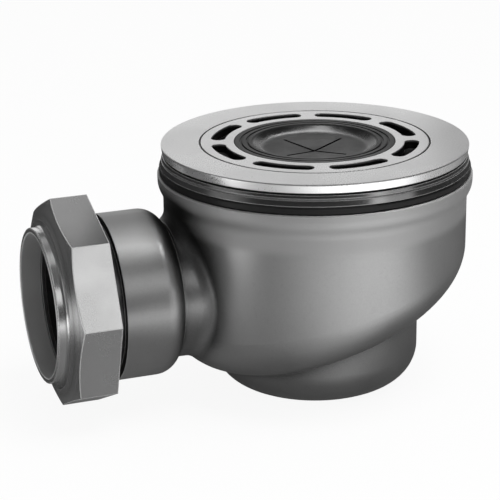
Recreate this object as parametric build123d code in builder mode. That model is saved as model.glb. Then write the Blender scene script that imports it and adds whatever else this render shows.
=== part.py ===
from build123d import *
from math import atan2, cos, degrees, radians, sin, sqrt
import os

os.makedirs("parts", exist_ok=True)

# Washing machine floor drain trap: a cast pot with a sump, a clamped flange with a slotted
# grate and a hose cuff, and a side outlet closed by an octagonal union nut.
# Millimetres. The origin is the centre of the flange's top face, +Z is up and the outlet
# leaves along -X.

# Clearances
thread_fit = 0.15
slide_fit = 0.3
loose_fit = 0.4
seal_fit = 0.1

# Flange ring
sleeve_r = 44.6
sleeve_wall = 3.6
sleeve_length = 22.0
sleeve_ledge_height = 5.0
sleeve_ledge_width = 4.5
flange_width = 12.9
flange_edge_height = 3.2
flange_edge_taper = 0.5
flange_edge_round = 0.4

# Rings clamped between the flange and the pot
flange_gasket_inset = 1.3
flange_gasket_height = 0.8
clamp_ring_proud = 0.5
clamp_ring_taper = 1.0
clamp_ring_height = 3.9
clamp_groove_depth = 0.5
clamp_groove_width = 0.5
clamp_groove_drop = 1.5
body_gasket_proud = 0.3
body_gasket_height = 3.0

# Grate
grate_seat = 2.3
grate_gap = 0.8
grate_height = 3.2
grate_rim = 3.5
slot_count = 8
slot_width = 5.5
slot_arc = 28.0
bar_angle = 27.0

# Hose cuff
cuff_clear = 3.6
cuff_lip_width = 3.5
cuff_lip_height = 1.6
cuff_bead_width = 2.2
cuff_bead_height = 2.2
cuff_dish_inset = 6.9
cuff_dish_drop = 0.6
cuff_dish_bow = 0.6
cuff_fold_inset = 6.6
cuff_fold_margin = 0.6
cuff_fold_drop = 2.6
cuff_centre_drop = 4.2
cuff_wall = 1.8
cuff_slit = 0.5
cuff_ring_depth = 0.5
cuff_ring_width = 0.9
cuff_ring_pitch = 2.3

# Dip tube, its seal and the weir tube round it
dip_collar_height = 5.0
dip_tube_r = 24.0
dip_tube_wall = 2.0
dip_tube_gap = 11.6
dip_funnel_drop = 14.0
o_ring_section = 2.1
weir_wall = 2.0
weir_drop = 32.0

# Pot
wall = 3.8
rim_proud = 0.7
rim_height = 2.4
rim_overhang = 2.0
rim_flare = 7.5
rim_edge = 0.4
floor_drop = 68.8
floor_tilt = 19.3
floor_round_r = 16.6
pot_roof = 5.6
hub_wall = 4.0
hub_drop = 23.0

# Sump
sump_r = 39.3
sump_round_r = 13.8
sump_drop = 93.4
sump_blend_r = 2.0

# Outlet
pipe_r = 25.0
outlet_drop = 50.8
neck_r = 25.6
neck_gap = 2.5
neck_flare_depth = 13.0
neck_flare_r = 26.4
neck_blend_r = 5.5
bulge_step = 1.35
bulge_shoulder_r = 8.0
bulge_shoulder_turn = 70
bulge_shoulder_length = 8.5
bulge_length = 15.6
spigot_wall = 1.2
spigot_length = 13.9
relief_depth = 1.6
relief_length = 4.0
socket_depth = 27.5
seat_depth = 3.2
seat_width = 3.0

# Union nut, slip ring and outlet seal
nut_sides = 8
nut_turn = 3.7
nut_gap = 4.2
nut_height = 9.8
nut_length = 13.7
nut_chamfer_length = 3.1
nut_chamfer_width = 8.2
nut_collar_length = 3.65
nut_collar_wall = 2.0
nut_collar_blend = 1.2
nut_mouth_clear = 1.6
nut_edge = 0.4
slip_ring_height = 1.5
seal_proud = 1.5
seal_reach = 2.6

# Radii round the upright axis, from the sleeve outwards and inwards
flange_r = sleeve_r + flange_width
flange_gasket_r = flange_r - flange_gasket_inset
clamp_ring_r = flange_r + clamp_ring_proud
body_gasket_r = clamp_ring_r + body_gasket_proud
rim_r = body_gasket_r + rim_proud
pot_r = rim_r - rim_overhang
ring_bore_r = sleeve_r + slide_fit
hub_bore_r = sleeve_r + thread_fit
sleeve_bore_r = sleeve_r - sleeve_wall
throat_r = sleeve_bore_r - sleeve_ledge_width
recess_r = sleeve_bore_r + grate_seat
grate_r = recess_r - grate_gap
slot_mid_r = grate_r - grate_rim - slot_width / 2
cuff_lip_r = slot_mid_r - slot_width / 2 - cuff_clear
cuff_neck_r = cuff_lip_r - cuff_lip_width
cuff_dish_r = cuff_lip_r - cuff_dish_inset
fold_rim_r = cuff_dish_r - cuff_fold_inset
fold_corner_r = fold_rim_r - cuff_fold_margin
sump_bore_r = sump_r - wall
weir_r = sump_bore_r - thread_fit

# Levels below the flange's top face
gasket_top = -flange_edge_height
clamp_top = gasket_top - flange_gasket_height
body_gasket_top = clamp_top - clamp_ring_height
rim_top = body_gasket_top - body_gasket_height
ledge_top = -sleeve_length + sleeve_ledge_height
sump_floor = -sump_drop + wall
sump_bend = -sump_drop + sump_round_r
dip_tube_end = sump_floor + dip_tube_gap
blank_end = -floor_drop - pot_r

# Radii and places along the outlet
socket_r = pipe_r + loose_fit
seat_r = socket_r + seat_width
spigot_r = seat_r + spigot_wall
relief_r = spigot_r - relief_depth
bulge_r = spigot_r + bulge_step
neck_bore_r = neck_r - wall
nut_bore_r = spigot_r + slide_fit
nut_corner_r = spigot_r + nut_height
nut_face_r = nut_corner_r - nut_chamfer_width
nut_mouth_r = pipe_r + nut_mouth_clear
nut_collar_r = nut_mouth_r + nut_collar_wall
neck_x = pot_r + neck_gap
neck_flare_x = pot_r - neck_flare_depth
bulge_start_x = neck_x + bulge_shoulder_length
spigot_start_x = bulge_start_x + bulge_length
relief_end_x = spigot_start_x + relief_length
spigot_end_x = spigot_start_x + spigot_length
socket_stop_x = spigot_end_x - socket_depth
seal_back_x = spigot_end_x + seal_proud
slip_seat_x = seal_back_x + 2 * seal_fit + slip_ring_height
nut_back_x = spigot_start_x + nut_gap
nut_corner_x = nut_back_x + nut_length
nut_face_x = nut_corner_x + nut_chamfer_length
nut_mouth_x = nut_face_x + nut_collar_length

flare_turn = 2 * atan2(rim_overhang, rim_flare)
flare_bend_r = rim_flare / (2 * sin(flare_turn))
tilt = radians(floor_tilt)
floor_plane = Plane((0, 0, -floor_drop), z_dir=(-sin(tilt), 0, cos(tilt)))
outlet_plane = Plane((0, 0, -outlet_drop), x_dir=(1, 0, 0), z_dir=(0, -1, 0))
outlet_axis = Axis((0, 0, -outlet_drop), (1, 0, 0))


def ring_profile(inner_r, outer_r, top, height):
    """Draw a rectangular ring section in the open sketch, on the plane of the Z axis."""
    with Locations((inner_r, top)):
        Rectangle(outer_r - inner_r, height, align=(Align.MIN, Align.MAX))


# Flange ring: a flat top with a tapered edge, and a threaded sleeve with a ledge for the dip tube
with BuildPart() as flange_ring:
    with BuildSketch(Plane.XZ) as flange_section:
        with BuildLine():
            Polyline(
                (recess_r, 0),
                (flange_r, 0),
                (flange_r - flange_edge_taper, -flange_edge_height),
                (sleeve_r, -flange_edge_height),
                (sleeve_r, -sleeve_length),
                (throat_r, -sleeve_length),
                (throat_r, ledge_top),
                (sleeve_bore_r, ledge_top),
                (sleeve_bore_r, -grate_height),
                (recess_r, -grate_height),
                close=True,
            )
        make_face()
        top_corner = flange_section.vertices().sort_by(Axis.X)[-1]
        fillet(top_corner, flange_edge_round)
    revolve(axis=Axis.Z)
flange_ring.part.label = "flange_ring"

# Flange gasket: a thin sheet rubber ring set back under the flange's edge
with BuildPart() as flange_gasket:
    with BuildSketch(Plane.XZ):
        ring_profile(ring_bore_r, flange_gasket_r, gasket_top, flange_gasket_height)
    revolve(axis=Axis.Z)
flange_gasket.part.label = "flange_gasket"

# Clamp ring: a turned metal ring, wider below, with one groove round its edge
with BuildPart() as clamp_ring:
    with BuildSketch(Plane.XZ):
        with BuildLine():
            Polyline(
                (ring_bore_r, clamp_top),
                (clamp_ring_r - clamp_ring_taper, clamp_top),
                (clamp_ring_r, body_gasket_top),
                (ring_bore_r, body_gasket_top),
                close=True,
            )
        make_face()
        groove_r = clamp_ring_r - clamp_ring_taper * (1 - clamp_groove_drop / clamp_ring_height)
        with Locations((groove_r, clamp_top - clamp_groove_drop)):
            Rectangle(2 * clamp_groove_depth, clamp_groove_width, mode=Mode.SUBTRACT)
    revolve(axis=Axis.Z)
clamp_ring.part.label = "clamp_ring"

# Body gasket: a thick rubber ring on the pot's rim
with BuildPart() as body_gasket:
    with BuildSketch(Plane.XZ) as body_gasket_section:
        ring_profile(ring_bore_r, body_gasket_r, body_gasket_top, body_gasket_height)
        fillet(body_gasket_section.vertices().group_by(Axis.X)[-1], body_gasket_height / 4)
    revolve(axis=Axis.Z)
body_gasket.part.label = "body_gasket"

# Grate: a flush disc with arc slots and a stepped hole for the hose cuff
with BuildPart() as grate:
    with BuildSketch(Plane.XY.offset(-grate_height)):
        Circle(grate_r)
        Circle(cuff_neck_r + slide_fit, mode=Mode.SUBTRACT)
        slot_start = bar_angle + 180 / slot_count - slot_arc / 2
        with PolarLocations(0, slot_count):
            with BuildLine(mode=Mode.PRIVATE) as slot_line:
                CenterArc((0, 0), slot_mid_r, slot_start, slot_arc)
            SlotArc(slot_line.edge(), slot_width, mode=Mode.SUBTRACT)
    extrude(amount=grate_height)
    with BuildSketch():
        Circle(cuff_lip_r + slide_fit)
    extrude(amount=-cuff_lip_height, mode=Mode.SUBTRACT)
grate.part.label = "grate"

# Hose cuff: a rubber grommet with a ringed lip and a dished membrane cut crosswise into four flaps
with BuildPart() as hose_cuff:
    neck_end = -grate_height - slide_fit
    bead_end = neck_end - cuff_bead_height
    fold_half = fold_corner_r / sqrt(2)
    with BuildSketch(Plane.XZ):
        with BuildLine():
            dish = SagittaArc((fold_rim_r, -cuff_fold_drop), (cuff_dish_r, -cuff_dish_drop), -cuff_dish_bow)
            Polyline(
                dish @ 1,
                (cuff_dish_r + cuff_dish_drop, 0),
                (cuff_lip_r, 0),
                (cuff_lip_r, -cuff_lip_height),
                (cuff_neck_r, -cuff_lip_height),
                (cuff_neck_r, neck_end),
                (cuff_neck_r + cuff_bead_width, neck_end),
                (cuff_neck_r, bead_end),
                (cuff_dish_r, bead_end),
                (cuff_dish_r - cuff_wall, -cuff_dish_drop - 2 * cuff_wall),
                (cuff_wall, -cuff_centre_drop - cuff_wall),
                (0, -cuff_centre_drop - cuff_wall),
                (0, -cuff_fold_drop),
                dish @ 0,
            )
        make_face()
        for ring_step in (1, 2):
            with Locations((cuff_lip_r - ring_step * cuff_ring_pitch, 0)):
                Rectangle(cuff_ring_width, 2 * cuff_ring_depth, mode=Mode.SUBTRACT)
    revolve(axis=Axis.Z)
    with BuildSketch(Plane.XY.offset(-cuff_fold_drop)):
        Rectangle(2 * fold_half, 2 * fold_half, rotation=bar_angle - 45)
    fold_taper = degrees(atan2(fold_half - cuff_slit, cuff_centre_drop - cuff_fold_drop))
    extrude(amount=cuff_fold_drop - cuff_centre_drop, taper=fold_taper, mode=Mode.SUBTRACT)
    with BuildSketch(Plane.XY.offset(-cuff_centre_drop - 2 * cuff_wall)):
        for turn in (0, 90):
            Rectangle(2 * (fold_corner_r - cuff_slit), cuff_slit, rotation=bar_angle + turn)
    extrude(amount=cuff_centre_drop + 2 * cuff_wall, mode=Mode.SUBTRACT)
hose_cuff.part.label = "hose_cuff"

# Dip tube: a collar on the sleeve's ledge, a funnel and a tube that ends under water in the sump
with BuildPart() as dip_tube:
    collar_r = sleeve_bore_r - loose_fit
    collar_top = ledge_top + dip_collar_height
    funnel_r = throat_r - loose_fit
    funnel_end = ledge_top - dip_funnel_drop
    groove_floor_r = sleeve_bore_r - o_ring_section - 2 * seal_fit
    groove_half = o_ring_section / 2 + seal_fit
    with BuildSketch(Plane.XZ):
        with BuildLine():
            Polyline(
                (funnel_r - dip_tube_wall, collar_top),
                (collar_r, collar_top),
                (collar_r, ledge_top),
                (funnel_r, ledge_top),
                (funnel_r, -sleeve_length),
                (dip_tube_r, funnel_end),
                (dip_tube_r, dip_tube_end),
                (dip_tube_r - dip_tube_wall, dip_tube_end),
                (dip_tube_r - dip_tube_wall, funnel_end),
                (funnel_r - dip_tube_wall, -sleeve_length),
                close=True,
            )
        make_face()
        with Locations((groove_floor_r, ledge_top + dip_collar_height / 2)):
            Rectangle(sleeve_wall, 2 * groove_half, align=(Align.MIN, Align.CENTER), mode=Mode.SUBTRACT)
    revolve(axis=Axis.Z)
dip_tube.part.label = "dip_tube"

# O-ring of the dip tube, in the collar's groove against the sleeve's bore
with BuildPart() as dip_tube_o_ring:
    o_ring_mid_r = groove_floor_r + seal_fit + o_ring_section / 2
    with BuildSketch(Plane.XZ):
        with Locations((o_ring_mid_r, ledge_top + dip_collar_height / 2)):
            Circle(o_ring_section / 2)
    revolve(axis=Axis.Z)
dip_tube_o_ring.part.label = "dip_tube_o_ring"

# Weir tube: a plain tube pressed into the sump's bore, over whose top the water leaves
with BuildPart() as weir_tube:
    with BuildSketch(Plane.XZ):
        ring_profile(weir_r - weir_wall, weir_r, -weir_drop, -weir_drop - sump_bend - slide_fit)
    revolve(axis=Axis.Z)
weir_tube.part.label = "weir_tube"

# Space inside the pot: under the roof, round the hub and over the sloping floor
with BuildPart() as pot_space:
    with BuildSketch(Plane.XY.offset(rim_top - pot_roof)):
        Circle(pot_r - wall)
    extrude(amount=blank_end)
    split(bisect_by=floor_plane.offset(wall), keep=Keep.TOP)
    fillet(pot_space.edges().filter_by(GeomType.ELLIPSE), floor_round_r - wall)
    with BuildSketch(Plane.XY.offset(rim_top)):
        Circle(hub_bore_r + hub_wall)
    extrude(amount=-hub_drop - rim_top, mode=Mode.SUBTRACT)

# Trap body: pot, sump, neck and outlet spigot in one casting
with BuildPart() as trap_body:
    with BuildSketch(Plane.XZ):
        flare_top = rim_top - rim_height
        with BuildLine():
            Polyline(
                (0, rim_top),
                (rim_r - rim_edge, rim_top),
                (rim_r, rim_top - rim_edge),
                (rim_r, flare_top),
            )
            flare_out = JernArc((rim_r, flare_top), (0, -1), flare_bend_r, -degrees(flare_turn))
            flare_in = JernArc(flare_out @ 1, flare_out % 1, flare_bend_r, degrees(flare_turn))
            Polyline(flare_in @ 1, (pot_r, blank_end), (0, blank_end), (0, rim_top))
        make_face()
    revolve(axis=Axis.Z)
    split(bisect_by=floor_plane, keep=Keep.TOP)
    fillet(trap_body.edges().filter_by(GeomType.ELLIPSE), floor_round_r)
    with BuildSketch(Plane.XZ):
        with BuildLine():
            Polyline(
                (0, -outlet_drop),
                (sump_r, -outlet_drop),
                (sump_r, sump_bend),
            )
            CenterArc((sump_r - sump_round_r, sump_bend), sump_round_r, 0, -90)
            Polyline((sump_r - sump_round_r, -sump_drop), (0, -sump_drop), (0, -outlet_drop))
        make_face()
    revolve(axis=Axis.Z)
    fillet(trap_body.edges(Select.NEW), sump_blend_r)
    with BuildSketch(Plane((-neck_x, 0, -outlet_drop), x_dir=(0, 1, 0), z_dir=(1, 0, 0))):
        Circle(neck_r)
    with BuildSketch(Plane((-neck_flare_x, 0, -outlet_drop), x_dir=(0, 1, 0), z_dir=(1, 0, 0))):
        Ellipse(neck_flare_r, neck_r)
    loft()
    neck_edges = trap_body.edges(Select.NEW).filter_by(lambda edge: edge.center().X > -neck_x + slide_fit)
    fillet(neck_edges, neck_blend_r)
    with BuildSketch(outlet_plane):
        with BuildLine():
            Polyline(
                (-neck_x, 0),
                (-spigot_end_x, 0),
                (-spigot_end_x, spigot_r),
                (-relief_end_x, spigot_r),
                (-relief_end_x, relief_r),
                (-spigot_start_x, relief_r),
                (-spigot_start_x, bulge_r),
                (-bulge_start_x, bulge_r),
            )
            shoulder_mid = (-bulge_start_x, bulge_r - bulge_shoulder_r)
            shoulder = CenterArc(shoulder_mid, bulge_shoulder_r, 90, -bulge_shoulder_turn)
            Polyline(shoulder @ 1, (-neck_x, neck_r), (-neck_x, 0))
        make_face()
    revolve(axis=outlet_axis)
    add(pot_space.part, mode=Mode.SUBTRACT)
    with BuildSketch(Plane.XZ):
        with BuildLine():
            Polyline(
                (0, 0),
                (hub_bore_r, 0),
                (hub_bore_r, -weir_drop),
                (sump_bore_r, -weir_drop),
                (sump_bore_r, sump_bend),
            )
            CenterArc((sump_r - sump_round_r, sump_bend), sump_round_r - wall, 0, -90)
            Polyline((sump_r - sump_round_r, sump_floor), (0, sump_floor), (0, 0))
        make_face()
    revolve(axis=Axis.Z, mode=Mode.SUBTRACT)
    with BuildSketch(outlet_plane):
        with BuildLine():
            Polyline(
                (-spigot_end_x, 0),
                (-spigot_end_x, seat_r),
                (-spigot_end_x + seat_depth, socket_r),
                (-socket_stop_x, socket_r),
                (-socket_stop_x, neck_bore_r),
                (-neck_flare_x, neck_bore_r),
                (-neck_flare_x, 0),
                close=True,
            )
        make_face()
    revolve(axis=outlet_axis, mode=Mode.SUBTRACT)
trap_body.part.label = "trap_body"

# Union nut: an octagonal nut with a turned front chamfer and a short collar round its mouth
with BuildPart() as union_nut:
    nut_plane = Plane((-nut_back_x, 0, -outlet_drop), x_dir=(0, 1, 0), z_dir=(-1, 0, 0))
    with BuildSketch(nut_plane):
        RegularPolygon(nut_corner_r, nut_sides, rotation=nut_turn)
    extrude(amount=nut_mouth_x - nut_back_x)
    with BuildSketch(outlet_plane) as nut_turned:
        chamfer_slope = (nut_face_x - nut_corner_x) / (nut_corner_r - nut_face_r)
        blank_r = nut_corner_r + slide_fit
        blank_x = nut_corner_x - slide_fit * chamfer_slope
        with BuildLine():
            Polyline(
                (-nut_back_x, 0),
                (-nut_back_x, blank_r),
                (-blank_x, blank_r),
                (-nut_face_x, nut_face_r),
                (-nut_face_x, nut_collar_r),
                (-nut_mouth_x, nut_collar_r),
                (-nut_mouth_x, 0),
                close=True,
            )
        make_face()
        fillet(nut_turned.vertices().sort_by_distance((-nut_face_x, nut_collar_r))[0], nut_collar_blend)
        fillet(nut_turned.vertices().sort_by_distance((-nut_mouth_x, nut_collar_r))[0], nut_edge)
    revolve(axis=outlet_axis, mode=Mode.INTERSECT)
    with BuildSketch(outlet_plane):
        with BuildLine():
            Polyline(
                (-nut_back_x, 0),
                (-nut_back_x, nut_bore_r),
                (-slip_seat_x, nut_bore_r),
                (-slip_seat_x, nut_mouth_r),
                (-nut_mouth_x, nut_mouth_r),
                (-nut_mouth_x, 0),
                close=True,
            )
        make_face()
    revolve(axis=outlet_axis, mode=Mode.SUBTRACT)
union_nut.part.label = "union_nut"

# Slip ring: a flat ring that takes the nut's push without turning the seal
with BuildPart() as slip_ring:
    with BuildSketch(outlet_plane):
        with Locations((-seal_back_x - seal_fit, socket_r)):
            Rectangle(slip_ring_height, nut_bore_r - slide_fit - socket_r, align=(Align.MAX, Align.MIN))
    revolve(axis=outlet_axis)
slip_ring.part.label = "slip_ring"

# Outlet seal: a tapered rubber ring that the nut presses into the spigot's seat
with BuildPart() as outlet_seal:
    seal_nose_x = spigot_end_x - seal_reach
    seat_slope = (seat_r - socket_r) / seat_depth
    nose_r = seat_r - seal_reach * seat_slope - 2 * seal_fit
    with BuildSketch(outlet_plane):
        with BuildLine():
            Polyline(
                (-seal_back_x, socket_r),
                (-seal_back_x, seat_r),
                (-spigot_end_x - 2 * seal_fit, seat_r),
                (-seal_nose_x, nose_r),
                (-seal_nose_x, socket_r),
                close=True,
            )
        make_face()
    revolve(axis=outlet_axis)
outlet_seal.part.label = "outlet_seal"

for piece in (
    flange_ring,
    flange_gasket,
    clamp_ring,
    body_gasket,
    grate,
    hose_cuff,
    dip_tube,
    dip_tube_o_ring,
    weir_tube,
    trap_body,
    union_nut,
    slip_ring,
    outlet_seal,
):
    export_step(piece.part, f"parts/{piece.part.label}.step")
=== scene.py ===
import logging
import math
from dataclasses import dataclass
from enum import Enum
from typing import Any, Optional, Union

import bpy
from mathutils import Matrix, Vector


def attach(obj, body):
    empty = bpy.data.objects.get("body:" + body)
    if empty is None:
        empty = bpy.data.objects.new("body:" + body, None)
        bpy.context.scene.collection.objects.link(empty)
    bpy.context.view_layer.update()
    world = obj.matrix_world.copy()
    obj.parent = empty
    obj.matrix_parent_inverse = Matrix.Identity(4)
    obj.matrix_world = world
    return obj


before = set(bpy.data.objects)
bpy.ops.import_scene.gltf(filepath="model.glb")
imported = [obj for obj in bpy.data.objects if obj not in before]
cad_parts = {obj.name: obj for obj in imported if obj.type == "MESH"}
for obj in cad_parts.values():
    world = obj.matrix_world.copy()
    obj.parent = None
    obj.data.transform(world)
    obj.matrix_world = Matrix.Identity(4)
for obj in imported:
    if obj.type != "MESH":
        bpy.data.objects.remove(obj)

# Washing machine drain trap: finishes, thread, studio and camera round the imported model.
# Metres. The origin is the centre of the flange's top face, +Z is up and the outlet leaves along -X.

log = logging.getLogger("drain_trap")

Colour = tuple[float, float, float, float]
Point = tuple[float, float, float]
Span = tuple[float, float]
Settings = dict[str, Any]
Sockets = dict[Union[str, int], Any]

OUTLET_DROP = 0.0508  # the outlet's axis below the origin
METAL = 0.95  # how metallic a clean metal face is
BRIGHTEST = 0.95  # the palest level that marks and the rubbed edges with their painted highlight reach
EVEN = 0.5  # the middle of a noise
MIDDLE: Span = (0.3, 0.7)  # the stretch of a noise that holds most of it
CLOSE: Span = (0.35, 0.65)  # a narrower one, for clearer patches


class Turning(Enum):
    """The axis a piece was turned about, which its tool marks run round."""

    UPRIGHT = "upright"
    OUTLET = "outlet"


class Sock:
    """A shader socket whose operators add Math nodes to its tree."""

    def __init__(self, shader: "Shader", socket: Optional[bpy.types.NodeSocket]) -> None:
        """Wraps one output socket of a node.

        Args:
            shader: the tree the socket belongs to.
            socket: the output socket itself, or None for a node that has none.
        """
        self.shader = shader
        self.socket = socket

    def __add__(self, other: Any) -> "Sock":
        """Adds."""
        return self.shader.math("ADD", self, other)

    __radd__ = __add__

    def __sub__(self, other: Any) -> "Sock":
        """Subtracts."""
        return self.shader.math("SUBTRACT", self, other)

    def __rsub__(self, other: Any) -> "Sock":
        """Subtracts from a number."""
        return self.shader.math("SUBTRACT", other, self)

    def __mul__(self, other: Any) -> "Sock":
        """Multiplies."""
        return self.shader.math("MULTIPLY", self, other)

    __rmul__ = __mul__

    def step(self, low: float, high: float, to_low: float = 0.0, to_high: float = 1.0) -> "Sock":
        """Maps a stretch of values smoothly onto another.

        Args:
            low: the value that becomes to_low.
            high: the value that becomes to_high.
            to_low: the result at and below low.
            to_high: the result at and above high.

        Returns:
            The mapped value.
        """
        return self.shader.node(
            "ShaderNodeMapRange",
            {"interpolation_type": "SMOOTHSTEP"},
            {"Value": self, "From Min": low, "From Max": high, "To Min": to_low, "To Max": to_high},
        )

    def fall(self, low: float, high: float) -> "Sock":
        """Gives 1 at and below low, and 0 at and above high."""
        return self.step(low, high, 1.0, 0.0)

    def part(self, name: str) -> "Sock":
        """Gives another output of the same node by its name."""
        return Sock(self.shader, self.socket.node.outputs[name])


class Shader:
    """A node tree that is written as expressions."""

    def __init__(self, tree: bpy.types.NodeTree) -> None:
        """Empties a tree and takes it over.

        Args:
            tree: a material's or world's node tree.
        """
        self.tree = tree
        tree.nodes.clear()

    def node(
        self, kind: str, settings: Settings, sockets: Sockets, out: Union[str, int] = 0
    ) -> Sock:
        """Adds one node.

        Args:
            kind: the node's type.
            settings: its properties.
            sockets: the values or links of its inputs, by name or index.
            out: the name or index of the output to return.

        Returns:
            The chosen output.
        """
        made = self.tree.nodes.new(kind)
        for key, value in settings.items():
            setattr(made, key, value)
        for key, value in sockets.items():
            if isinstance(value, Sock):
                self.tree.links.new(value.socket, made.inputs[key])
            else:
                made.inputs[key].default_value = value
        return Sock(self, made.outputs[out] if made.outputs else None)

    def math(self, operation: str, first: Any, second: Any = 0.0) -> Sock:
        """Adds a Math node.

        Args:
            operation: the node's operation.
            first: the value or socket of its first input.
            second: the value or socket of its second input.

        Returns:
            The node's result.
        """
        return self.node("ShaderNodeMath", {"operation": operation}, {0: first, 1: second})

    def hypot(self, a: Sock, b: Sock) -> Sock:
        """Gives the length of two legs' hypotenuse."""
        return self.math("SQRT", a * a + b * b)

    def place(self) -> Sock:
        """Gives the point in the piece's own frame, in metres."""
        return self.node("ShaderNodeTexCoord", {}, {}, "Object")

    def facing(self) -> Sock:
        """Gives the surface's own normal."""
        return self.node("ShaderNodeNewGeometry", {}, {}, "Normal")

    def axes(self, vector: Sock) -> tuple[Sock, Sock, Sock]:
        """Splits a vector into its three parts."""
        x = self.node("ShaderNodeSeparateXYZ", {}, {0: vector})
        return x, x.part("Y"), x.part("Z")

    def noise(self, at: Sock, scale: float, detail: float, rough: float = 0.5) -> Sock:
        """Gives fractal noise from 0 to 1.

        Args:
            at: the point to read it at.
            scale: cells in a metre.
            detail: octaves.
            rough: the weight of the finer octaves.

        Returns:
            The noise's value.
        """
        sockets = {"Vector": at, "Scale": scale, "Detail": detail, "Roughness": rough}
        return self.node("ShaderNodeTexNoise", {}, sockets)

    def rings(self, along: Sock, scale: float) -> Sock:
        """Gives noise along one length only, which reads as rings on a turned piece.

        Args:
            along: the length to read it at, in metres.
            scale: cells in a metre.

        Returns:
            The noise's value.
        """
        sockets = {"W": along, "Scale": scale, "Detail": 1.0}
        return self.node("ShaderNodeTexNoise", {"noise_dimensions": "1D"}, sockets)

    def mix(self, share: Sock, first: Any, second: Any) -> Sock:
        """Mixes two colours.

        Args:
            share: how much of the second, from 0 to 1.
            first: a colour or socket.
            second: a colour or socket.

        Returns:
            The mixed colour.
        """
        return self.node("ShaderNodeMix", {"data_type": "RGBA"}, {0: share, 6: first, 7: second}, 2)

    def round_edges(self, radius: float, sharp: float = 0.10) -> tuple[Sock, Sock]:
        """Softens the shading of sharp edges.

        Args:
            radius: the edges' radius in metres.
            sharp: how far a normal has to turn to count as an edge in full.

        Returns:
            The softened normal, and a mask that is 1 on the edges and 0 elsewhere.
        """
        soft = self.node("ShaderNodeBevel", {"samples": 6}, {"Radius": radius})
        along = self.node(
            "ShaderNodeVectorMath",
            {"operation": "DOT_PRODUCT"},
            {0: soft, 1: self.facing()},
            "Value",
        )
        return soft, (1.0 - along).step(0.04 * sharp, sharp)

    def turned(self, turning: Turning) -> tuple[Sock, Sock, Sock]:
        """Gives what a lathe sees of a piece.

        Args:
            turning: the axis it was turned about.

        Returns:
            The radius, the length that the tool travelled, and how far the surface faces along the
            axis, from 0 to 1.
        """
        x, y, z = self.axes(self.place())
        way_x, _, way_z = self.axes(self.facing())
        if turning is Turning.UPRIGHT:
            radius, along, way = self.hypot(x, y), z, way_z
        else:
            radius, along, way = self.hypot(y, z + OUTLET_DROP), x, way_x
        return radius, radius + along, self.math("ABSOLUTE", way)

    def bump(
        self, height: Sock, strength: float, depth: float, over: Optional[Sock] = None
    ) -> Sock:
        """Raises a surface's shading by a height.

        Args:
            height: the height at each point.
            strength: how much of it shows.
            depth: what a height of 1 stands for, in metres.
            over: the normal it lies on, or None for the surface's own.

        Returns:
            The raised normal.
        """
        sockets: Sockets = {"Strength": strength, "Distance": depth, "Height": height}
        if over is not None:
            sockets["Normal"] = over
        return self.node("ShaderNodeBump", {}, sockets)

    def coat(self, tone: Sock, rough: Sock, normal: Sock, more: Sockets) -> Sock:
        """Adds the surface that the light meets.

        Args:
            tone: its colour.
            rough: its roughness.
            normal: its normal.
            more: the sockets that only some finishes set.

        Returns:
            The surface.
        """
        sockets = {"Base Color": tone, "Roughness": rough, "Normal": normal, **more}
        return self.node("ShaderNodeBsdfPrincipled", {}, sockets)

    def glow(self, level: Any) -> Sock:
        """Adds an even white light of a level, or the light of a socket's levels."""
        if isinstance(level, Sock):
            return self.node("ShaderNodeEmission", {}, {"Color": level, "Strength": 1.0})
        return self.node("ShaderNodeEmission", {}, {"Color": grey(1.0), "Strength": level})

    def close(self, surface: Sock) -> None:
        """Joins the finished surface to the material's output."""
        self.node("ShaderNodeOutputMaterial", {}, {"Surface": surface})


def grey(level: float) -> Colour:
    """Gives an opaque neutral colour of one linear level."""
    return (level, level, level, 1.0)


def new_material(name: str) -> tuple[bpy.types.Material, Shader]:
    """Makes a material.

    Args:
        name: the material's name.

    Returns:
        The material and its empty shader.
    """
    made = bpy.data.materials.new(name)
    made.use_nodes = True
    return made, Shader(made.node_tree)


@dataclass(frozen=True)
class Finish:
    """What every surface finish shares: a name, a grey level, a roughness and a material."""

    name: str
    level: float
    rough: float

    def material(self) -> bpy.types.Material:
        """Makes the finish's material.

        Returns:
            The new material.
        """
        made, shader = new_material(self.name)
        shader.close(self.surface(shader))
        return made

    def surface(self, shader: Shader) -> Sock:
        """Builds the finish's shader and gives its output."""
        raise NotImplementedError

    def tint(self, times: float) -> Colour:
        """Gives a multiple of the finish's own grey."""
        return grey(min(BRIGHTEST, self.level * times))

    def uneven(self, patches: Sock, smoother: float, rougher: float) -> Sock:
        """Gives a roughness that wanders in patches.

        Args:
            patches: the noise that it follows.
            smoother: how far it falls below the finish's roughness.
            rougher: how far it rises above it.

        Returns:
            The roughness.
        """
        return patches.step(*MIDDLE, self.rough - smoother, self.rough + rougher)


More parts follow.
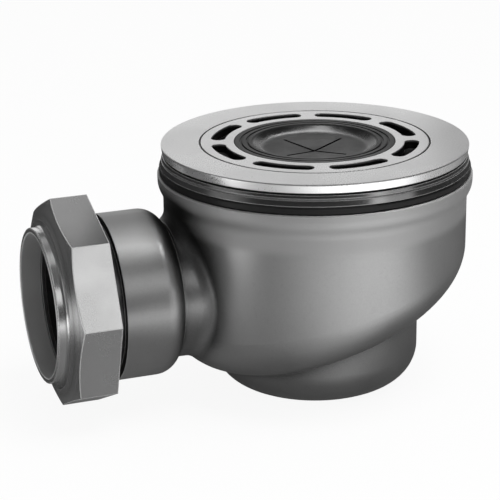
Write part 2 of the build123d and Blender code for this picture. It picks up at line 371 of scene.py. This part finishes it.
@dataclass(frozen=True)
class CastMetal(Finish):
    """Satin cast metal with a blasted grain, painted shade in tight inner corners, a matte rim band
    painted paler as a painted highlight, and rubbed edges that also carry a painted highlight.
    """

    cloud_scale: float = 38.0
    cloud_tints: Span = (0.96, 1.04)
    cloud_rough: float = 0.02
    grain_scale: float = 1700.0
    grain_tint: float = 0.86
    grain_share: float = 0.30
    grain_rough: float = 0.10
    dimple_scale: float = 620.0
    dimple_span: Span = (0.28, 0.40)
    dimple_tint: float = 0.6
    dimple_share: float = 0.10
    dimple_depth: float = 0.5
    rim_span: Span = (-0.0275, -0.0235)
    # Painted highlight: the band at the top of the pot is painted paler than the casting, besides
    # being matte.
    rim_painted_highlight_level: float = 0.54
    rim_rough: float = 0.60
    # Painted shade: tight inner corners are painted darker.
    corner_shade_reach: float = 0.020
    corner_shade_span: Span = (0.10, 0.36)
    corner_shade_tint: float = 0.15
    edge_radius: float = 0.0005
    # Edges are painted paler, as rubbed wear and as a painted highlight.
    edge_wear_and_highlight_tint: float = 2.0
    edge_wear_and_highlight_share: float = 0.6
    edge_metal: float = 0.5
    bump_strength: float = 0.06
    bump_depth: float = 0.0002

    def surface(self, shader: Shader) -> Sock:
        """Builds the cast surface and gives its output."""
        at = shader.place()
        _, _, z = shader.axes(at)
        cloud = shader.noise(at, self.cloud_scale, detail=3.0)
        grain = shader.noise(at, self.grain_scale, detail=3.0, rough=0.6)
        dimples = shader.noise(at, self.dimple_scale, detail=2.0).fall(*self.dimple_span)
        rim = z.step(*self.rim_span)
        soft, edge = shader.round_edges(self.edge_radius)
        low, high = self.cloud_tints
        tone = shader.mix(cloud.step(*CLOSE), self.tint(low), self.tint(high))
        grained = grain.step(*MIDDLE) * self.grain_share
        tone = shader.mix(grained, tone, self.tint(self.grain_tint))
        tone = shader.mix(dimples * self.dimple_share, tone, self.tint(self.dimple_tint))
        # Painted highlight: the band at the top of the pot is painted paler.
        tone = shader.mix(rim, tone, grey(self.rim_painted_highlight_level))
        # Painted shade: tight inner corners are painted darker.
        tone = shader.mix(self.corners(shader), tone, self.tint(self.corner_shade_tint))
        # Edges painted paler: rubbed wear and a painted highlight.
        tone = shader.mix(edge * self.edge_wear_and_highlight_share, tone, self.tint(self.edge_wear_and_highlight_tint))
        rough = self.uneven(cloud, self.cloud_rough, self.cloud_rough)
        rough = rough + (grain - EVEN) * self.grain_rough + rim * (self.rim_rough - self.rough)
        height = grain - dimples * self.dimple_depth
        normal = shader.bump(height, self.bump_strength, self.bump_depth, soft)
        return shader.coat(tone, rough, normal, {"Metallic": METAL - edge * self.edge_metal})

    def corners(self, shader: Shader) -> Sock:
        """Gives a mask that is 1 in tight inner corners and 0 on open walls, where painted shade
        darkens the tone.
        """
        open_share = shader.node(
            "ShaderNodeAmbientOcclusion",
            {"samples": 8, "only_local": True},
            {"Distance": self.corner_shade_reach},
            "AO",
        )
        return (1.0 - open_share).step(*self.corner_shade_span)


@dataclass(frozen=True)
class TurnedMetal(Finish):
    """Machined metal with rings of tool marks, a satin grain and broken edges, painted paler as
    rubbed wear and as a painted highlight.

    A piece with flats has its marks only where it faces along its axis. A bore is a duller surface
    inside a radius.
    """

    turning: Turning
    flats: bool = False
    flats_span: Span = (0.15, 0.35)
    contrast: float = 0.3
    fine_marks: float = 1500.0
    fine_span: Span = (0.5, 0.7)
    fine_tint: float = 1.5
    broad_marks: float = 450.0
    broad_span: Span = (0.45, 0.6)
    broad_tint: float = 0.45
    grain_scale: float = 2300.0
    grain_tints: Span = (0.95, 1.03)
    grain_rough: float = 0.10
    grain_depth: float = 0.3
    smudge_scale: float = 60.0
    smudge_rough: float = 0.03
    edge_radius: float = 0.0005
    edge_sharp: float = 0.10
    # Edges are painted paler, as rubbed wear and as a painted highlight.
    edge_wear_and_highlight_level: float = 0.9
    edge_wear_and_highlight_share: float = 0.9
    edge_metal: float = 0.65
    bore: float = 0.0
    bore_blend: float = 0.0004
    bore_level: float = 0.6
    bore_rough: float = 0.34
    bore_metal: float = 0.3
    bump_strength: float = 0.05
    bump_depth: float = 0.0001

    def surface(self, shader: Shader) -> Sock:
        """Builds the turned surface and gives its output."""
        at = shader.place()
        radius, travel, facing = shader.turned(self.turning)
        fine = shader.rings(travel, self.fine_marks)
        broad = shader.rings(travel, self.broad_marks)
        grain = shader.noise(at, self.grain_scale, detail=3.0, rough=0.65)
        smudge = shader.noise(at, self.smudge_scale, detail=3.0)
        soft, edge = shader.round_edges(self.edge_radius, self.edge_sharp)
        light = fine.step(*self.fine_span) * self.contrast
        dark = broad.step(*self.broad_span) * self.contrast
        marks = fine
        if self.flats:
            lathed = facing.step(*self.flats_span)
            light, dark, marks = light * lathed, dark * lathed, marks * lathed
        low, high = self.grain_tints
        tone = shader.mix(grain.step(*MIDDLE), self.tint(low), self.tint(high))
        tone = shader.mix(dark, tone, self.tint(self.broad_tint))
        tone = shader.mix(light, tone, self.tint(self.fine_tint))
        # Edges painted paler: rubbed wear and a painted highlight.
        tone = shader.mix(edge * self.edge_wear_and_highlight_share, tone, grey(self.edge_wear_and_highlight_level))
        rough = self.uneven(smudge, self.smudge_rough, self.smudge_rough)
        rough = rough + (grain - EVEN) * self.grain_rough
        metal = METAL - edge * self.edge_metal
        if self.bore:
            inside = radius.fall(self.bore, self.bore + self.bore_blend)
            tone = shader.mix(inside, tone, grey(self.bore_level))
            rough = rough + inside * (self.bore_rough - self.rough)
            metal = metal - inside * self.bore_metal
        height = grain * self.grain_depth + marks
        normal = shader.bump(height, self.bump_strength, self.bump_depth, soft)
        return shader.coat(tone, rough, normal, {"Metallic": metal})


@dataclass(frozen=True)
class PlatedMetal(Finish):
    """Pale satin plating with a fine matted grain, faint turning rings and paler edges, which are
    rubbed wear and a painted highlight.

    A side level paints the upright sides paler, a painted highlight, and a sunk level paints the
    walls below the top face darker, painted shade. With neither, they are as the rest.
    """

    wash_scale: float = 30.0
    wash_tints: Span = (0.97, 1.03)
    wash_rough: float = 0.03
    matting_scale: float = 1500.0
    matting_tint: float = 0.84
    matting_share: float = 0.5
    matting_rough: float = 0.12
    ring_marks: float = 1400.0
    ring_depth: float = 0.2
    edge_radius: float = 0.0004
    # Edges are painted paler, as rubbed wear and as a painted highlight.
    edge_wear_and_highlight_tint: float = 1.35
    edge_wear_and_highlight_share: float = 0.7
    # Painted highlight: the upright sides are painted paler.
    side_painted_highlight_level: float = 0.0
    side_highlight_span: Span = (0.6, 0.9)
    # Painted shade: the walls below the top face are painted darker.
    sunk_painted_shade_level: float = 0.0
    sunk_shade_span: Span = (-0.0010, -0.0003)
    bump_strength: float = 0.07
    bump_depth: float = 0.0001

    def surface(self, shader: Shader) -> Sock:
        """Builds the plated surface and gives its output."""
        at = shader.place()
        _, _, z = shader.axes(at)
        _, travel, facing = shader.turned(Turning.UPRIGHT)
        rings = shader.rings(travel, self.ring_marks)
        matting = shader.noise(at, self.matting_scale, detail=3.0, rough=0.65)
        wash = shader.noise(at, self.wash_scale, detail=3.0)
        soft, edge = shader.round_edges(self.edge_radius)
        low, high = self.wash_tints
        tone = shader.mix(wash.step(*CLOSE), self.tint(low), self.tint(high))
        matted = matting.step(*MIDDLE) * self.matting_share
        tone = shader.mix(matted, tone, self.tint(self.matting_tint))
        # Edges painted paler: rubbed wear and a painted highlight.
        tone = shader.mix(edge * self.edge_wear_and_highlight_share, tone, self.tint(self.edge_wear_and_highlight_tint))
        # Painted highlight: the upright sides are painted paler.
        if self.side_painted_highlight_level:
            tone = shader.mix(facing.fall(*self.side_highlight_span), tone, grey(self.side_painted_highlight_level))
        # Painted shade: the walls below the top face are painted darker.
        if self.sunk_painted_shade_level:
            tone = shader.mix(z.fall(*self.sunk_shade_span), tone, grey(self.sunk_painted_shade_level))
        rough = self.uneven(wash, self.wash_rough, self.wash_rough)
        rough = rough + (matting - EVEN) * self.matting_rough
        height = matting + rings * self.ring_depth
        normal = shader.bump(height, self.bump_strength, self.bump_depth, soft)
        return shader.coat(tone, rough, normal, {"Metallic": METAL})


@dataclass(frozen=True)
class BlackRubber(Finish):
    """Moulded rubber with a faint bloom, a matt sheen, and rubbed edges with a painted highlight.

    It may have a smoother band between two radii, and painted shade along the lips of two crossed
    cuts.
    """

    shine: float
    bloom_scale: float = 70.0
    bloom_span: Span = (0.35, 0.7)
    bloom_tints: Span = (0.8, 1.5)
    bloom_smoother: float = 0.05
    bloom_rougher: float = 0.06
    grain_scale: float = 2600.0
    grain_rough: float = 0.10
    edge_radius: float = 0.0004
    # Edges are painted paler, as rubbed wear and as a painted highlight.
    edge_wear_and_highlight_tint: float = 2.6
    edge_wear_and_highlight_share: float = 0.5
    polish_from: float = 0.0
    polish_to: float = 0.0
    polish_in: float = 0.001
    polish_out: float = 0.0005
    polish_rough: float = 0.24
    cut_angle: float = 0.0
    cut_half: float = 0.0
    cut_core: float = 0.6
    cut_reach: float = 0.0148
    cut_end: float = 0.001
    # Painted shade along the lips of the crossed cuts.
    cut_shade_tint: float = 0.3
    bump_strength: float = 0.10
    bump_depth: float = 0.0001

    def surface(self, shader: Shader) -> Sock:
        """Builds the rubber surface and gives its output."""
        at = shader.place()
        bloom = shader.noise(at, self.bloom_scale, detail=4.0, rough=0.6)
        grain = shader.noise(at, self.grain_scale, detail=2.0, rough=0.6)
        soft, edge = shader.round_edges(self.edge_radius)
        low, high = self.bloom_tints
        tone = shader.mix(bloom.step(*self.bloom_span), self.tint(low), self.tint(high))
        # Edges painted paler: rubbed wear and a painted highlight.
        tone = shader.mix(edge * self.edge_wear_and_highlight_share, tone, self.tint(self.edge_wear_and_highlight_tint))
        rough = self.uneven(bloom, self.bloom_smoother, self.bloom_rougher)
        rough = rough + (grain - EVEN) * self.grain_rough
        if self.polish_to:
            rough = rough - self.polish(shader, at) * (self.rough - self.polish_rough)
        normal = shader.bump(grain, self.bump_strength, self.bump_depth, soft)
        skin = shader.coat(tone, rough, normal, {"Specular IOR Level": self.shine})
        if not self.cut_half:
            return skin
        # Painted shade: the lips of the cuts get a dark, plain diffuse surface.
        cut_shade_surface = shader.node("ShaderNodeBsdfDiffuse", {}, {"Color": self.tint(self.cut_shade_tint)})
        return shader.node("ShaderNodeMixShader", {}, {0: self.cuts(shader, at), 1: skin, 2: cut_shade_surface})

    def polish(self, shader: Shader, at: Sock) -> Sock:
        """Masks the smoother band.

        Args:
            shader: the tree to add to.
            at: the point in the piece's own frame.

        Returns:
            A mask that is 1 in the band and 0 elsewhere.
        """
        x, y, _ = shader.axes(at)
        radius = shader.hypot(x, y)
        outside = radius.step(self.polish_from - self.polish_in, self.polish_from + self.polish_in)
        inside = radius.fall(self.polish_to - self.polish_out, self.polish_to + self.polish_out)
        return outside * inside

    def cuts(self, shader: Shader, at: Sock) -> Sock:
        """Masks the lips of two crossed cuts, which get a rough, dark diffuse surface as painted
        shade.

        Args:
            shader: the tree to add to.
            at: the point in the piece's own frame.

        Returns:
            A mask that is 1 beside the cuts and 0 elsewhere.
        """
        x, y, _ = shader.axes(at)
        turn = math.radians(self.cut_angle)
        cos, sin = math.cos(turn), math.sin(turn)
        along = shader.math("ABSOLUTE", x * cos + y * sin)
        across = shader.math("ABSOLUTE", y * cos - x * sin)
        near = shader.math("MINIMUM", along, across)
        lips = near.fall(self.cut_half * self.cut_core, self.cut_half)
        return lips * shader.hypot(x, y).fall(self.cut_reach, self.cut_reach + self.cut_end)


@dataclass(frozen=True)
class GreyPlastic(Finish):
    """Moulded grey plastic with a soft, slightly cloudy surface."""

    cloud_scale: float = 45.0
    cloud_tints: Span = (0.92, 1.06)
    cloud_smoother: float = 0.04
    cloud_rougher: float = 0.05
    grain_scale: float = 2200.0
    bump_strength: float = 0.08
    bump_depth: float = 0.0001

    def surface(self, shader: Shader) -> Sock:
        """Builds the plastic surface and gives its output."""
        at = shader.place()
        cloud = shader.noise(at, self.cloud_scale, detail=3.0)
        grain = shader.noise(at, self.grain_scale, detail=2.0, rough=0.6)
        low, high = self.cloud_tints
        tone = shader.mix(cloud.step(*CLOSE), self.tint(low), self.tint(high))
        rough = self.uneven(cloud, self.cloud_smoother, self.cloud_rougher)
        normal = shader.bump(grain, self.bump_strength, self.bump_depth)
        return shader.coat(tone, rough, normal, {})


def wear(finish: Finish, *nodes: str) -> list[bpy.types.Object]:
    """Gives CAD nodes one finish.

    Args:
        finish: the finish to make their material from.
        nodes: the nodes' names.

    Returns:
        The dressed nodes.
    """
    material = finish.material()
    pieces = [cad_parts[node] for node in nodes]
    for piece in pieces:
        piece.data.materials.clear()
        piece.data.materials.append(material)
    return pieces


@dataclass
class CastPot:
    """The cast pot with its sump, neck and outlet spigot, whose thread is a ridge of its own.

    The thread's foot and tip are half its widths there, in pitches, and its ends run out over one
    turn divided by runouts.
    """

    metal: Finish = CastMetal("cast_satin_metal", 0.38, 0.36)
    thread_root: float = 0.0294
    thread_crest: float = 0.02982
    thread_pitch: float = 0.002309
    thread_from: float = -0.0970
    thread_to: float = -0.0888
    thread_foot: float = 0.42
    thread_tip: float = 0.08
    runouts: float = 4.0
    turn_steps: int = 120

    def build(self) -> bpy.types.Object:
        """Winds the thread's ridge round the spigot.

        Returns:
            The ridge, riding on the trap.
        """
        turns = (self.thread_to - self.thread_from) / self.thread_pitch
        steps = int(turns * self.turn_steps)
        corners: list[Point] = []
        faces: list[tuple[int, ...]] = []
        for step in range(steps + 1):
            corners += self.section(step, steps)
            this, last = 4 * step, 4 * (step - 1)
            for side in range(4 if step else 0):
                after = (side + 1) % 4
                faces.append((this + side, this + after, last + after, last + side))
        faces.append((0, 1, 2, 3))
        faces.append(tuple(range(4 * steps + 3, 4 * steps - 1, -1)))
        mesh = bpy.data.meshes.new("spigot_thread")
        mesh.from_pydata(corners, [], faces)
        made = bpy.data.objects.new("spigot_thread", mesh)
        bpy.context.scene.collection.objects.link(made)
        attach(made, "trap")
        return made

    def section(self, step: int, steps: int) -> list[Point]:
        """Gives the four corners of the ridge's section at one step.

        Args:
            step: the step, from 0.
            steps: the last step.

        Returns:
            The corners, from one foot over the tip to the other.
        """
        foot, tip = self.thread_foot * self.thread_pitch, self.thread_tip * self.thread_pitch
        angle = math.tau * step / self.turn_steps
        middle = self.thread_from + self.thread_pitch * step / self.turn_steps
        runout = min(1.0, self.runouts * min(step, steps - step) / self.turn_steps)
        root = self.thread_root
        crest = root + (self.thread_crest - root) * runout
        return [
            (middle + aside, radius * math.cos(angle), radius * math.sin(angle) - OUTLET_DROP)
            for aside, radius in ((-foot, root), (-tip, crest), (tip, crest), (foot, root))
        ]

    def dress(self) -> list[bpy.types.Object]:
        """Gives the casting and its thread their finish, and gives them back."""
        thread = self.build()
        pieces = wear(self.metal, "trap_body")
        thread.data.materials.append(pieces[0].data.materials[0])
        return pieces + [thread]


@dataclass
class FloorFlange:
    """The flange, its clamp ring and the two gaskets on the pot's rim."""

    # The flange's upright side is painted near-white, a painted highlight.
    plating: Finish = PlatedMetal("pale_plating", 0.69, 0.30, side_painted_highlight_level=0.97)
    # The clamp ring's edges are painted paler, as rubbed wear and a painted highlight.
    ring: Finish = TurnedMetal("turned_ring_metal", 0.20, 0.20, Turning.UPRIGHT, edge_wear_and_highlight_level=0.45)
    rubber: Finish = BlackRubber("gasket_rubber", 0.008, 0.45, shine=0.3)

    def dress(self) -> list[bpy.types.Object]:
        """Gives the rings their finishes, and gives them back."""
        return [
            *wear(self.plating, "flange_ring"),
            *wear(self.ring, "clamp_ring"),
            *wear(self.rubber, "flange_gasket", "body_gasket"),
        ]


@dataclass
class Inlet:
    """The grate with its hose cuff and the two tubes that hold the water back under it."""

    # The grate's slot walls below its top face are painted near-black, painted shade.
    plating: Finish = PlatedMetal("grate_plating", 0.73, 0.30, sunk_painted_shade_level=0.06)
    rubber: Finish = BlackRubber(
        "cuff_rubber",
        0.008,
        0.58,
        shine=0.4,
        polish_from=0.0195,
        polish_to=0.0232,
        cut_angle=27.0,
        cut_half=0.0007,
    )
    plastic: Finish = GreyPlastic("dip_tube_plastic", 0.035, 0.5)
    weir: Finish = TurnedMetal("weir_tube_metal", 0.42, 0.30, Turning.UPRIGHT)

    def dress(self) -> list[bpy.types.Object]:
        """Gives the grate, cuff and tubes their finishes, and gives them back."""
        return [
            *wear(self.plating, "grate"),
            *wear(self.rubber, "hose_cuff", "dip_tube_o_ring"),
            *wear(self.plastic, "dip_tube"),
            *wear(self.weir, "weir_tube"),
        ]


@dataclass
class OutletUnion:
    """The union nut, its slip ring and seal."""

    nut: Finish = TurnedMetal(
        "nut_metal",
        0.60,
        0.24,
        Turning.OUTLET,
        flats=True,
        edge_radius=0.0006,
        edge_sharp=0.05,
        bore=0.0268,
    )
    # The slip ring's edges are painted paler, as rubbed wear and a painted highlight.
    ring: Finish = TurnedMetal("slip_ring_metal", 0.2, 0.35, Turning.OUTLET, edge_wear_and_highlight_level=0.3)
    rubber: Finish = BlackRubber("outlet_seal_rubber", 0.010, 0.45, shine=0.3)

    def dress(self) -> list[bpy.types.Object]:
        """Gives the nut, ring and seal their finishes, and gives them back."""
        return [
            *wear(self.nut, "union_nut"),
            *wear(self.ring, "slip_ring"),
            *wear(self.rubber, "outlet_seal"),
        ]


def stage_sheet(name: str, width: float, height: float) -> tuple[bpy.types.Object, Shader]:
    """Makes a flat sheet for the stage, about the origin and facing up.

    Args:
        name: the sheet's name.
        width: its size along X.
        height: its size along Y.

    Returns:
        The sheet's object and its empty shader.
    """
    w, h = width / 2, height / 2
    mesh = bpy.data.meshes.new(name)
    mesh.from_pydata([(-w, -h, 0), (w, -h, 0), (w, h, 0), (-w, h, 0)], [], [(0, 1, 2, 3)])
    made = bpy.data.objects.new(name, mesh)
    bpy.context.scene.collection.objects.link(made)
    material, shader = new_material(name)
    mesh.materials.append(material)
    return made, shader


def only_mirrored(sheet: bpy.types.Object) -> None:
    """Hides a sheet from all but reflections."""
    sheet.visible_camera = False
    sheet.visible_diffuse = False
    sheet.visible_shadow = False


def aim(thing: bpy.types.Object, way: Vector) -> None:
    """Turns an object's own Z along a direction."""
    thing.rotation_mode = "QUATERNION"
    thing.rotation_quaternion = way.to_track_quat("Z", "Y")


@dataclass(frozen=True)
class Card:
    """A studio card that only reflections show: a softbox front or a dark flag.

    Its turn and lift are degrees from the camera's side and from level, as seen from the studio's
    centre. A card with names under only lights those nodes alone.
    """

    name: str
    turn: float
    lift: float
    distance: float
    width: float
    height: float
    level: float
    only: tuple[str, ...] = ()

    def build(self, back: Vector, right: Vector, centre: Vector) -> None:
        """Makes the card.

        Args:
            back: the level direction from the object to the camera.
            right: the level direction to the camera's right.
            centre: the point the card faces.
        """
        turn, lift = math.radians(self.turn), math.radians(self.lift)
        level = back * math.cos(turn) + right * math.sin(turn)
        away = level * math.cos(lift) + Vector((0.0, 0.0, math.sin(lift)))
        made, shader = stage_sheet(self.name, self.width, self.height)
        made.location = centre + away * self.distance
        aim(made, -away)
        shader.close(shader.glow(self.level))
        only_mirrored(made)
        if self.only:
            lit = bpy.data.collections.new(self.name)
            for node in self.only:
                lit.objects.link(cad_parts[node])
            made.light_linking.receiver_collection = lit


@dataclass(frozen=True)
class Pool:
    """A soft round pool of light on the floor, which only reflections show.

    Its middle lies a reach away from the origin, turned by degrees from the camera's side. It is
    even within the inner radius and gone at the outer one.
    """

    turn: float
    reach: float
    inner: float
    outer: float
    level: float


@dataclass
class Studio:
    """The floor, the light and the camera of the photograph."""

    centre: Point = (-0.02, 0.0, -0.05)
    floor_at: float = -0.0936
    floor_side: float = 8.0
    floor_level: float = 0.9
    floor_white: float = 0.92
    sheet_at: float = -0.0935
    sheet_side: float = 3.0
    sheet_level: float = 0.05
    fill: float = 0.55
    lamp_right: float = 0.35
    lamp_back: float = 0.25
    lamp_up: float = 1.0
    lamp_size: float = 0.7
    lamp_watts: float = 7.0
    camera_at: Point = (-0.252984, -0.620732, 0.188101)
    camera_right: Point = (0.93784, -0.34687, -0.01137)
    camera_up: Point = (0.12326, 0.30228, 0.94522)
    camera_back: Point = (-0.32443, -0.88787, 0.32625)
    camera_sensor: float = 36.0
    camera_lens: float = 133.96
    camera_reach: Span = (0.01, 50.0)
    cards: tuple[Card, ...] = (
        Card("front_flag", 0.0, 24.0, 1.5, 3.6, 1.9, 0.06),
        Card("left_flag", -100.0, 22.0, 1.4, 3.2, 1.7, 0.10),
        Card("right_flag", 100.0, 22.0, 1.4, 2.4, 1.7, 0.06),
        Card("top_flag", 0.0, 90.0, 1.2, 2.0, 2.0, 0.12),
        Card("back_flag", 180.0, 50.0, 1.3, 2.6, 1.1, 0.10),
        Card("top_softbox", 0.0, 90.0, 1.1, 0.45, 0.45, 0.7),
        Card("left_softbox", -68.0, 9.0, 1.1, 0.50, 0.36, 0.6),
        Card("right_softbox", 60.0, 7.0, 1.1, 0.45, 0.26, 1.2),
        Card("front_softbox", 38.0, 30.0, 1.1, 0.62, 0.42, 1.2),
        Card("upper_softbox", 105.0, 63.0, 1.1, 0.52, 0.28, 8.0, ("trap_body",)),
        Card("cuff_softbox", 167.0, 61.7, 0.177, 0.020, 0.12, 9.0, ("hose_cuff",)),
        Card("nut_softbox", -107.0, 51.5, 0.116, 0.05, 0.036, 0.45, ("union_nut",)),
        Card("ring_softbox", 44.0, 9.0, 1.0, 0.18, 0.40, 2.2, ("clamp_ring",)),
        Card("flange_flag", 145.0, 16.0, 0.30, 0.16, 0.16, 0.6),
    )
    pools: tuple[Pool, ...] = (
        Pool(40.0, 0.24, 0.03, 0.18, 1.35),
        Pool(-63.0, 0.34, 0.06, 0.17, 2.6),
        Pool(-109.0, 0.18, 0.02, 0.09, 0.5),
        Pool(79.0, 0.51, 0.03, 0.58, 0.60),
        Pool(-2.0, 0.33, 0.03, 0.34, 0.76),
        Pool(2.0, 0.21, 0.01, 0.10, 0.45),
        Pool(-52.0, 0.085, 0.01, 0.05, 0.12),
        Pool(14.0, 0.10, 0.01, 0.06, 0.28),
    )

    def build(self) -> None:
        """Builds the floor, the light and the camera."""
        self.build_floor()
        self.build_pools()
        self.build_world()
        self.build_cards()
        self.build_lamp()
        self.build_camera()

    def level_ways(self) -> tuple[Vector, Vector]:
        """Gives the level directions from the object to the camera and to the camera's right."""
        back = Vector((self.camera_back[0], self.camera_back[1], 0.0)).normalized()
        return back, Vector((-back.y, back.x, 0.0))

    def build_floor(self) -> None:
        """Lays the pale floor, which is nearly white where it is seen and keeps a faint shadow."""
        floor, shader = stage_sheet("floor", self.floor_side, self.floor_side)
        floor.location.z = self.floor_at
        pale = shader.node("ShaderNodeBsdfDiffuse", {}, {"Color": grey(self.floor_level)})
        share = self.seen(shader) * self.floor_white
        sockets = {0: share, 1: pale, 2: shader.glow(1.0)}
        shader.close(shader.node("ShaderNodeMixShader", {}, sockets))

    def build_pools(self) -> None:
        """Lays the dim sheet with its pools of light, which only reflections show."""
        sheet, shader = stage_sheet("pooled_sheet", self.sheet_side, self.sheet_side)
        sheet.location.z = self.sheet_at
        back, right = self.level_ways()
        x, y, _ = shader.axes(shader.place())
        level: Any = self.sheet_level
        for pool in self.pools:
            turn = math.radians(pool.turn)
            middle = (back * math.cos(turn) + right * math.sin(turn)) * pool.reach
            away = shader.hypot(x - middle.x, y - middle.y)
            level = level + away.step(pool.inner, pool.outer, pool.level, 0.0)
        shader.close(shader.glow(level))
        only_mirrored(sheet)

    def seen(self, shader: Shader) -> Sock:
        """Gives 1 for rays that see or mirror a surface, and 0 for the others."""
        path = shader.node("ShaderNodeLightPath", {}, {}, "Is Camera Ray")
        glossy, through = path.part("Is Glossy Ray"), path.part("Is Transmission Ray")
        return shader.math("MAXIMUM", path, shader.math("MAXIMUM", glossy, through))

    def build_world(self) -> None:
        """Makes the world white where it is seen or mirrored, and a soft fill elsewhere."""
        world = bpy.data.worlds.new("studio")
        bpy.context.scene.world = world
        world.use_nodes = True
        shader = Shader(world.node_tree)
        strength = self.seen(shader) * (1.0 - self.fill) + self.fill
        sockets = {"Color": grey(1.0), "Strength": strength}
        sky = shader.node("ShaderNodeBackground", {}, sockets)
        shader.node("ShaderNodeOutputWorld", {}, {"Surface": sky})

    def build_cards(self) -> None:
        """Hangs the cards round the object."""
        back, right = self.level_ways()
        for card in self.cards:
            card.build(back, right, Vector(self.centre))

    def build_lamp(self) -> None:
        """Hangs one soft lamp over the object."""
        back, right = self.level_ways()
        data = bpy.data.lights.new("top_lamp", "AREA")
        data.shape = "DISK"
        data.size = self.lamp_size
        data.energy = self.lamp_watts
        lamp = bpy.data.objects.new("top_lamp", data)
        away = right * self.lamp_right + back * self.lamp_back + Vector((0.0, 0.0, self.lamp_up))
        lamp.location = Vector(self.centre) + away
        aim(lamp, away)
        lamp.visible_glossy = False
        bpy.context.scene.collection.objects.link(lamp)

    def build_camera(self) -> None:
        """Stands the camera where the photograph was taken."""
        data = bpy.data.cameras.new("camera")
        data.sensor_width = self.camera_sensor
        data.lens = self.camera_lens
        data.clip_start, data.clip_end = self.camera_reach
        made = bpy.data.objects.new("camera", data)
        turn = Matrix((self.camera_right, self.camera_up, self.camera_back)).transposed()
        made.matrix_world = Matrix.Translation(self.camera_at) @ turn.to_4x4()
        bpy.context.scene.collection.objects.link(made)
        bpy.context.scene.camera = made


def main() -> None:
    """Dresses every sub-assembly and builds the studio."""
    logging.basicConfig(level=logging.INFO)
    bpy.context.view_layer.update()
    for assembly in (CastPot(), FloorFlange(), Inlet(), OutletUnion()):
        for piece in assembly.dress():
            log.info("%s wears %s", piece.name, piece.data.materials[0].name)
    Studio().build()
    bpy.context.scene.view_settings.view_transform = "Standard"


if __name__ == "__main__":
    main()
